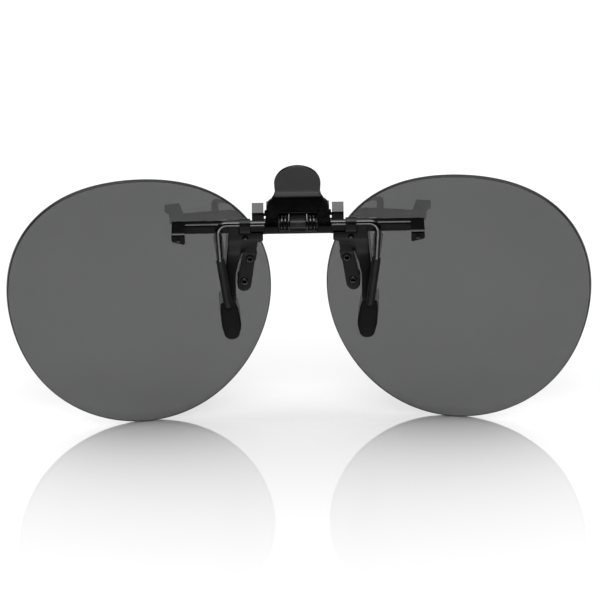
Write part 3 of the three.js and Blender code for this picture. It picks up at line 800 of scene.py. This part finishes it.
# ---------------------------------------------------------------- rivets
# radius, y, wear
PLATE_RIVET_PROFILE = [
    (0, 2.04, 0), (0.30, 2.06, 0), (0.50, 2.12, 0), (0.62, 2.22, 0), (0.68, 2.31, 1.0),
    (0.66, 2.345, 0), (0.45, 2.35, 0), (0.42, 2.36, 0), (0.42, 3.64, 0), (0.74, 3.66, 0),
    (0.75, 3.72, 1.0), (0.7, 3.92, 1.0), (0.5, 4.02, 0), (0, 4.05, 0),
]
SPACER_R, WASHER_R = 1.5, 1.65
LENS_GAP = 0.06         # from the lens to its spacer and washer

plate_rivet = turned(PLATE_RIVET_PROFILE, (PLATE_RIVET[0], 0, PLATE_RIVET[1]), (0, 1, 0), 36)
pair("bracket_rivet", [plate_rivet], [RIVET_STEEL], "front", 40.0)


def lens_y_around(x, z, r, front, pick):
    """Least or greatest y of a lens face on a circle, tried at whole radians."""
    return pick(lens_y(x + r * math.cos(i), z + r * math.sin(i), front) for i in range(16))


def eyelet_profile(tab, clinch):
    """Hollow rivet from the tab's rear face to its clinched front end."""
    # radius, y, rounding
    corners = [
        (0.42, tab - 0.24, 0.08), (0.62, tab - 0.36, 0.12), (0.83, tab - 0.30, 0.12),
        (0.95, tab - 0.02, 0.04), (0.75, tab - 0.02, 0.02), (0.75, clinch, 0.03),
        (1.15, clinch + 0.02, 0.06), (1.05, clinch + 0.30, 0.12), (0.54, clinch + 0.30, 0.1),
        (0.42, clinch + 0.15, 0.08),
    ]
    return soft_profile([c[:2] for c in corners], [c[2] for c in corners])


def lens_fixing(label, x, z):
    """Eyelet, spacer behind the lens and washer in front of it."""
    place, along = (x, 0, z), (0, 1, 0)
    rear = lens_y_around(x, z, SPACER_R, False, min) - LENS_GAP
    front = lens_y_around(x, z, WASHER_R, True, max) + LENS_GAP
    eyelet = turned(eyelet_profile(TAB_Y - SHEET / 2, front + 0.58), place, along)
    pair(f"lens_rivet_{label}", [eyelet], [RIVET_STEEL], "front", 45.0)
    for kind, start, end, r in (
        ("spacer", TAB_Y + SHEET / 2 + 0.03, rear, SPACER_R),
        ("washer", front, front + 0.55, WASHER_R),
    ):
        profile = soft_profile([(0.8, start), (r, start), (r, end), (0.8, end)],
                               [0.04, 0.12, 0.12, 0.04])
        ring = turned(profile, place, along)
        pair(f"lens_{kind}_{label}", [ring], [NYLON], "front", 45.0)


for label, (x, z) in LENS_RIVETS.items():
    lens_fixing(label, x, z)


# ---------------------------------------------------------------- paddle covers
def track(keys):
    """A smooth curve through (z, value) keys that run downward."""
    zs, vals = zip(*keys)
    last = len(zs) - 1
    slopes = []
    for i in range(last + 1):
        a, b = max(0, i - 1), min(last, i + 1)
        slopes.append((vals[b] - vals[a]) / (zs[b] - zs[a]))

    def at(z):
        z = min(max(z, zs[-1]), zs[0])
        i = 0
        while i < last - 1 and z < zs[i + 1]:
            i += 1
        h = zs[i + 1] - zs[i]
        t = (z - zs[i]) / h
        return ((2 * t ** 3 - 3 * t ** 2 + 1) * vals[i]
                + (t ** 3 - 2 * t ** 2 + t) * h * slopes[i]
                + (-2 * t ** 3 + 3 * t ** 2) * vals[i + 1]
                + (t ** 3 - t ** 2) * h * slopes[i + 1])
    return at


# Sides of the right cover: x of its left and right, y of its rear and front
PAD_LEFT = track([
    (-21.3, 14.55), (-22.1, 14.30), (-23.5, 13.97), (-25.6, 13.58), (-27.3, 13.52),
    (-28.7, 13.86), (-29.5, 14.30),
])
PAD_RIGHT = track([
    (-21.3, 18.13), (-22.3, 18.26), (-24.3, 18.20), (-26.9, 18.03), (-28.5, 17.62), (-29.5, 17.1),
])
PAD_REAR = track([(-21.3, 1.47), (-22.6, 1.32), (-25.2, 1.30), (-27.7, 1.32), (-29.5, 1.56)])
PAD_FRONT = track([(-21.3, 3.14), (-22.8, 3.24), (-27.7, 3.28), (-29.5, 3.02)])
MOUTH_Z, POCKET_Z = -21.3, -28.15       # mouth and floor of the pocket
POCKET_X, POCKET_Y = 16.02, 2.325
PAD_POWER = 3.4                         # squareness of the outer sections
# z, inset: a shallow moulded band under the lip
BAND = [(-21.75, 0.0), (-21.92, 0.02), (-22.04, 0.07), (-22.16, 0.08), (-22.28, 0.04), (-22.4, 0.0)]
LIP_R = 0.26
END_Z, END_DEPTH = -28.7, 1.8           # where the rounded end starts, and its depth
TIP_X, TIP_Y = 15.74, 2.3


def pad_shape():
    shape = Shape()
    sides = 56
    rows = []

    def ring(z, x, y, half_x, half_y, power, wear=0.0):
        row = []
        for k in range(sides):
            a = 2 * math.pi * k / sides
            c, s = math.cos(a), math.sin(a)
            px = x + half_x * math.copysign(abs(c) ** (2 / power), c)
            py = y + half_y * math.copysign(abs(s) ** (2 / power), s)
            row.append(shape.add((px, py, z), wear))
        rows.append(row)

    def section(z):
        """Centre and half sizes of the outside."""
        a, b, c, d = PAD_LEFT(z), PAD_RIGHT(z), PAD_REAR(z), PAD_FRONT(z)
        return (a + b) / 2, (c + d) / 2, (b - a) / 2, (d - c) / 2

    def outer(z, shrink=0.0, drop=0.0, wear=0.0):
        x, y, half_x, half_y = section(z)
        ring(z - drop, x, y, half_x - shrink, half_y - shrink, PAD_POWER, wear)

    # the pocket, from its floor up to the mouth
    for i in range(12):
        ring(lerp(POCKET_Z, -21.6, i / 11), POCKET_X, POCKET_Y, 1.30, 0.425, 9.0)
    ring(-21.38, POCKET_X, POCKET_Y, 1.33, 0.45, 8.0, 0.6)
    ring(MOUTH_Z, 16.05, POCKET_Y, 1.42, 0.52, 6.0, 0.9)
    # the lip, rolled over on to the outside
    for k in range(5):
        a = math.pi / 2 * k / 4
        outer(MOUTH_Z, LIP_R * (1 - math.sin(a)), LIP_R * (1 - math.cos(a)), 0.9)
    for z, shrink in BAND:
        outer(z, shrink)
    z = -22.75
    while z > END_Z:
        outer(z)
        z -= 0.4
    # the rounded end
    x, y, half_x, half_y = section(END_Z)
    for k in range(12):
        t = math.pi / 2 * k / 12
        s, c = math.sin(t), math.cos(t)
        ring(END_Z - END_DEPTH * s, lerp(x, TIP_X, s ** 1.3), lerp(y, TIP_Y, s),
             half_x * c ** 0.92, half_y * c ** 0.75, lerp(PAD_POWER, 2.2, k / 12))
    shape.loft(rows)
    floor = shape.add((POCKET_X, POCKET_Y, POCKET_Z))
    tip = shape.add((TIP_X, TIP_Y, END_Z - END_DEPTH))
    shape.strip([floor], rows[0])
    shape.strip(rows[-1], [tip])
    return shape


pair("paddle_cover", [pad_shape()], [RUBBER], "front", 60.0)

# ---------------------------------------------------------------- clamp wire and sleeves
WIRE_R, WIRE_X = 0.75, 18.45            # WIRE_X is the corner between axle and leg
LEG_END, LEG_KINK, KINK_R = (16.45, 0.6, -20.5), (17.95, 0.1, -9.0), 6
SLEEVE_TOP_Z = -9.2
SLEEVE_BORE, SLEEVE_R = 0.775, 1.045


def wire_shape():
    right = [(WIRE_X, 0, 0), LEG_KINK, LEG_END]
    left = [(-x, y, z) for x, y, z in reversed(right)]
    path = rounded(left + right, [KINK_R, 2.0, 2.0, KINK_R], 12)
    return rod(spaced(path, 0.9), WIRE_R, 28)


def sleeve_shape():
    """A bore round the wire, a rolled lip at the top and a rounded closed end."""
    leg = spaced(rounded([(WIRE_X, 0, -2.1), LEG_KINK, LEG_END], [KINK_R], 14), 0.35)
    onward = (leg[-1] - leg[-2]).normalized()
    extra = 13      # points past the end of the wire
    leg += [leg[-1] + onward * (0.1 * k) for k in range(1, extra + 1)]
    places = carriers(leg)
    dist = [0.0]
    for a, b in zip(leg, leg[1:]):
        dist.append(dist[-1] + (b - a).length)
    top = float(np.interp(-SLEEVE_TOP_Z, [-p.z for p in leg], dist))
    end = dist[-1 - extra]
    floor, tip = end + 0.12, end + 0.97

    def at(q):
        """Centre and cross directions at a distance q along the leg."""
        i = min(len(dist) - 2, max(0, int(np.searchsorted(dist, q)) - 1))
        t = (q - dist[i]) / (dist[i + 1] - dist[i])
        pos, across, up = (a.lerp(b, t) for a, b in zip(places[i], places[i + 1]))
        return pos, across.normalized(), up.normalized()

    shape = Shape()
    sides, rows = 32, []

    def ring(q, r, wear=0.0, ripple=0.0):
        pos, across, up = at(q)
        row = []
        for k in range(sides):
            t = 2 * math.pi * k / sides
            rr = r + ripple * math.sin(3 * t + q * 0.9) * 0.5
            point = pos + across * (rr * math.cos(t)) + up * (rr * math.sin(t))
            row.append(shape.add(point, wear))
        rows.append(row)

    first = shape.add(at(floor)[0])
    # up the bore
    q = floor
    ring(q, SLEEVE_BORE)
    while q > top + 0.3:
        q -= 0.6
        ring(max(q, top + 0.2), SLEEVE_BORE)
    # over the lip
    ring(top + 0.06, SLEEVE_BORE + 0.01, 0.5)
    for k in range(5):
        a = math.pi * k / 4
        middle, half = (SLEEVE_BORE + SLEEVE_R) / 2, (SLEEVE_R - SLEEVE_BORE) / 2
        ring(top + 0.1 - 0.1 * math.sin(a), middle - half * math.cos(a) - 0.004, 0.9)
    # down the outside, which thins by `slim` below the lip
    slim = 0.012
    q = top + 0.2
    while q < end - 0.1:
        ring(q, SLEEVE_R - slim * smooth((q - top) / 1.4), ripple=0.006)
        q += 0.45
    for k in range(10):
        t = math.pi / 2 * k / 10
        ring(lerp(end, tip, math.sin(t)), (SLEEVE_R - slim) * math.cos(t) ** 0.8)
    last = shape.add(at(tip)[0])
    shape.loft(rows)
    shape.strip([first], rows[0])
    shape.strip(rows[-1], [last])
    return shape


piece("clamp_wire", [wire_shape()], [WIRE_STEEL], "clamp", 60.0)
pair("wire_sleeve", [sleeve_shape()], [VINYL], "clamp", 60.0)

# ---------------------------------------------------------------- lever
# y, z that the blade follows
LEVER = Bend([(-2.0, -1.6), (-2.0, 0.2), (1.5, 5.8), (1.38, 7.5), (-1.12, 15.1)],
             [1.4, 0.45, 1.2], 12)
# half width and height of the blade's round top, and the z it starts from
CROWN_X, CROWN_H, CROWN_Z = 5.32, 5.1, 9.85
# x, z down the right side below it
BLADE_SIDE = [
    (5.25, 8.6), (5.18, 7.6), (5.45, 6.6), (5.95, 5.8), (6.7, 5.3), (7.0, 4.6), (7.2, 3.6),
    (7.5, 1.0), (7.78, -0.9), (7.78, -1.6),
]
WINDOW = [(-4.47, -1.05), (4.47, -1.05), (4.47, 2.8), (-4.47, 2.8)]     # x, z
# y, z around a cheek
CHEEK = [
    (-2.0, -1.5), (0.9, -1.5), (1.35, -0.9), (1.5, 0.5), (1.95, 4.7), (1.2, 5.1), (0.35, 4.3),
    (-2.0, 0.4),
]
CHEEK_X = 6.9


def blade_shape():
    def along(loop, radius, segs):
        """Rounds an x, z outline and lays it along the bend."""
        return [(x, LEVER.of_z(z)) for x, z in densify(fillet(loop, radius, segs), 0.3)]

    turns = [math.pi / 2 * i / 24 for i in range(25)]
    half = [(CROWN_X * math.sin(a), CROWN_Z + CROWN_H * math.cos(a)) for a in turns] + BLADE_SIDE
    outline = half + [(-x, z) for x, z in reversed(half) if x > 0]
    return sheet(along(outline, 0.6, 4), [along(WINDOW, 0.32, 5)], LEVER.surf, SHEET,
                 edge=0.1, grid=0.45, step=0.32)


def cheek_shape(side):
    def surf(y, z):
        return Vector((side * CHEEK_X, y, z)), Vector((side, 0, 0))

    return sheet(fillet(CHEEK, 0.25, 4), [circle(0, 0, BORE_R, 36)], surf, SHEET,
                 edge=0.09, grid=0.5, step=0.3)


piece("lever", [blade_shape(), cheek_shape(1), cheek_shape(-1)], [LEVER_STEEL], "clamp",
      40.0)

# ---------------------------------------------------------------- spring and arbor
SPRING_R, COIL_R = 0.3, 1.65                # wire, and coil to the wire's middle
COIL_OUT_X, COIL_IN_X = 4.05, 2.1           # ends of a coil, off the middle
COIL_START, COIL_SWEEP = -45, 895           # degrees about the axle, winding backward
COIL_STEPS = 150
BOW_X, BOW_REACH, BOW_FORWARD = 1.95, 2.85, 0.26     # the bow that joins the two coils


def spring_path():
    """Left half of the spring: arm, coil, and half the bow."""
    coil = []
    for i in range(COIL_STEPS + 1):
        a = math.radians(COIL_START - COIL_SWEEP * i / COIL_STEPS)
        x = -COIL_OUT_X + (COIL_OUT_X - COIL_IN_X) * i / COIL_STEPS
        coil.append(Vector((x, COIL_R * math.cos(a), COIL_R * math.sin(a))))
    end = coil[-1]
    bow = Vector((-BOW_X, end.y + math.sin(a) * BOW_REACH + BOW_FORWARD,
                  end.z - math.cos(a) * BOW_REACH))
    bow_path = rounded([end, bow, (0, bow.y, bow.z)], [0.55], 8)[1:]
    arm = rounded([(-COIL_OUT_X, PLATE_Y, 1.4), (-COIL_OUT_X, 2.6, 0.27), coil[0]], [0.5], 6)
    return spaced(arm[:-1], 0.3) + coil + spaced(bow_path, 0.3)


half_spring = spring_path()
for name, side in (("left", -1), ("right", 1)):
    path = [Vector((-side * p.x, p.y, p.z)) for p in half_spring]
    spring = piece(f"torsion_spring_{name}", [rod(path, SPRING_R, 18)], [SPRING_STEEL], None,
                   60.0, node="torsion_spring")
    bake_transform(spring)

ARBOR_R, ARBOR_X = 1.12, 4.4
arbor = soft_profile(
    [(BORE_R, -ARBOR_X), (ARBOR_R, -ARBOR_X), (ARBOR_R, ARBOR_X), (BORE_R, ARBOR_X)],
    [0.04, 0.1, 0.1, 0.04])
piece("spring_arbor", [turned(arbor, (0, 0, 0), (1, 0, 0))], [NYLON], "clamp", 45.0)


# ---------------------------------------------------------------- front bar, in metres
def finish_bar(bar):
    """Keeps the CAD bar, with cleaned flats and softened edges."""
    bar.data.materials.clear()
    bar.data.materials.append(BLACK_STEEL)
    sharp = 34      # degrees
    weld = bar.modifiers.new("weld", "WELD")
    weld.merge_threshold = 2e-6
    flat = bar.modifiers.new("flat", "DECIMATE")
    flat.decimate_type, flat.angle_limit = "DISSOLVE", math.radians(0.6)
    soft = bar.modifiers.new("soft", "BEVEL")
    soft.width, soft.segments = 0.00007, 2
    soft.limit_method, soft.angle_limit = "ANGLE", math.radians(sharp)
    soft.harden_normals = False
    even = bar.modifiers.new("even", "WEIGHTED_NORMAL")
    even.mode, even.weight, even.keep_sharp = "FACE_AREA", 100, True
    shade(bar.data, sharp)


finish_bar(frame["nodes"]["front_bar"])


# ---------------------------------------------------------------- floor
def degrees(lo, hi):
    return math.radians(lo), math.radians(hi)


def card_level(n, incoming):
    """Brightness of the card by how steeply and how far to the side it is looked at."""
    back = n.split(incoming)
    steep = n.math("ARCSINE", back["Z"])
    level = 0.25
    for span, change in (((29.0, 33.0), 1.75), ((41.0, 51.0), -0.85), ((59.0, 66.0), -0.53)):
        level = n.add(level, n.ramp(steep, over=degrees(*span), to=(0.0, change)))
    aside = n.math("ABSOLUTE", back["X"])
    level = n.mul(level, n.ramp(aside, over=(0.28, 0.58), to=(1.0, 0.03)))
    level = n.mul(level, n.ramp(back["Y"], over=(-0.35, -0.05), to=(0.45, 1.0)))
    # and a further glow where it is looked at low from the camera's side
    beyond = n.mul(n.ramp(back["Y"], over=(-0.62, -0.40), to=(1.0, 0.0)),
                   n.ramp(steep, over=degrees(28.0, 36.0), to=(1.1, 0.0)))
    return n.add(level, beyond)


def floor_material(foot):
    """Matt white with a mirror sheen that dies away from the line y = foot.

    Rough metal sees a plain card instead, and the floor is clear from below.
    """
    mat = bpy.data.materials.new("studio_floor")
    n = Nodes(mat)
    geo = n.new("NewGeometry").outputs
    place = n.split(geo["Position"])
    away = n.sub(foot, place["Y"])
    ahead = n.math("MAXIMUM", away, 0.0)

    def decay(length, amount):
        return n.mul(n.math("EXPONENT", n.math("DIVIDE", ahead, -length)), amount)

    fade = n.add(decay(length=0.0095, amount=0.50), decay(length=0.075, amount=0.24))
    # the sheen eases in behind the line
    start = n.ramp(away, over=(-0.018, 0.001))
    start = n.mul(n.mul(start, start), n.sub(3.0, n.mul(start, 2.0)))
    fade = n.mul(fade, start)
    # and is darker near the middle, a painted shadow between the lenses
    tone = n.ramp(n.math("ABSOLUTE", place["X"]), over=(0.028, 0.054), to=(0.68, 1.0))
    painted_shadow_grey = n.new("CombineColor", {i: tone for i in range(3)}).outputs[0]
    base = n.new("BsdfDiffuse", {"Color": (0.86, 0.86, 0.86, 1)})
    mirror = n.new("BsdfGlossy", {"Color": painted_shadow_grey, "Roughness": 0.0})
    white = n.mix(fade, base, mirror)

    card = n.new("Emission", {"Strength": card_level(n, geo["Incoming"])})
    path = n.new("LightPath").outputs
    rough_ray = n.mul(path["Is Glossy Ray"], n.sub(1.0, path["Is Singular Ray"]))
    carded = n.mix(rough_ray, white, card)
    n.surface(n.mix(geo["Backfacing"], carded, n.new("BsdfTransparent")))
    mat.cycles.emission_sampling = "NONE"
    return mat


def build_floor():
    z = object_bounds()[0].z - 0.00002
    half = 4
    lens = bpy.data.objects["right_lens_fine"].data
    foot = min((v.co for v in lens.vertices), key=lambda p: p.z).y
    mesh = bpy.data.meshes.new("studio_floor")
    corners = [(-half, -half, z), (half, -half, z), (half, half, z), (-half, half, z)]
    mesh.from_pydata(corners, [], [(0, 1, 2, 3)])
    mesh.materials.append(floor_material(foot))
    link_object("studio_floor", mesh)


build_floor()

# ---------------------------------------------------------------- world
KEY = 1.36              # sky as it lights matt surfaces
SKY_IN_SHEEN = 1.1      # sky in sharp mirrors
PANEL = 6.0             # soft panel high on the camera's side, for rough metal
FILL = 1.3              # weaker light on the far side, for rough metal
HIGH = 0.5              # glow overhead, for rough metal
LOW = 0.03              # what rough metal sees everywhere


def build_world():
    world = bpy.data.worlds.new("studio")
    bpy.context.scene.world = world
    n = Nodes(world, "OutputWorld")

    def ease(x, over, to=(0.0, 1.0)):
        return n.ramp(x, over, to, kind="SMOOTHSTEP")

    sky = n.split(n.new("TexCoord").outputs["Generated"])
    elev = n.math("ARCSINE", sky["Z"])
    near = ease(sky["Y"], over=(-0.25, 0.05), to=(1.0, 0.0))     # 1 on the camera's side
    panel = n.mul(ease(elev, degrees(47, 55)), ease(elev, degrees(72, 78), to=(1.0, 0.0)))
    panel = n.mul(panel, near)
    high = ease(elev, degrees(60, 80), to=(0.0, HIGH))
    fill = n.mul(n.mul(n.sub(1.0, near), ease(elev, degrees(24, 62))), FILL)
    shaped = n.add(n.add(n.add(LOW, fill), high), n.mul(panel, PANEL))

    path = n.new("LightPath").outputs
    sharp = n.mul(path["Is Glossy Ray"], path["Is Singular Ray"])
    rough = n.sub(path["Is Glossy Ray"], sharp)
    matt = path["Is Diffuse Ray"]
    rest = n.sub(n.sub(n.sub(1.0, sharp), rough), matt)
    level = n.add(n.add(n.mul(matt, KEY), n.mul(sharp, SKY_IN_SHEEN)), rest)
    strength = n.add(n.mul(shaped, rough), level)
    n.surface(n.new("Background", {"Color": (1, 1, 1, 1), "Strength": strength}))
    world.cycles.sampling_method = "NONE"


build_world()

# ---------------------------------------------------------------- camera
ELEVATION, ROLL = math.radians(25.0), math.radians(0.9)
DISTANCE = 0.950        # metres from the axle


def build_camera():
    cam = bpy.data.cameras.new("camera")
    cam.sensor_width, cam.lens = 36.0, 249.0
    cam.shift_x, cam.shift_y = 0.0035, -0.128
    cam.clip_start, cam.clip_end = 0.05, 20.0
    obj = link_object("camera", cam)
    back = Vector((0, -math.cos(ELEVATION), math.sin(ELEVATION)))
    obj.location = Vector(AXLE) + back * DISTANCE
    obj.rotation_mode = "QUATERNION"
    aim = (-back).to_track_quat("-Z", "Y")
    obj.rotation_quaternion = aim @ Quaternion((0, 0, 1), -ROLL)
    scene = bpy.context.scene
    scene.camera = obj
    scene.view_settings.view_transform = "Standard"
    scene.view_settings.look = "None"


build_camera()
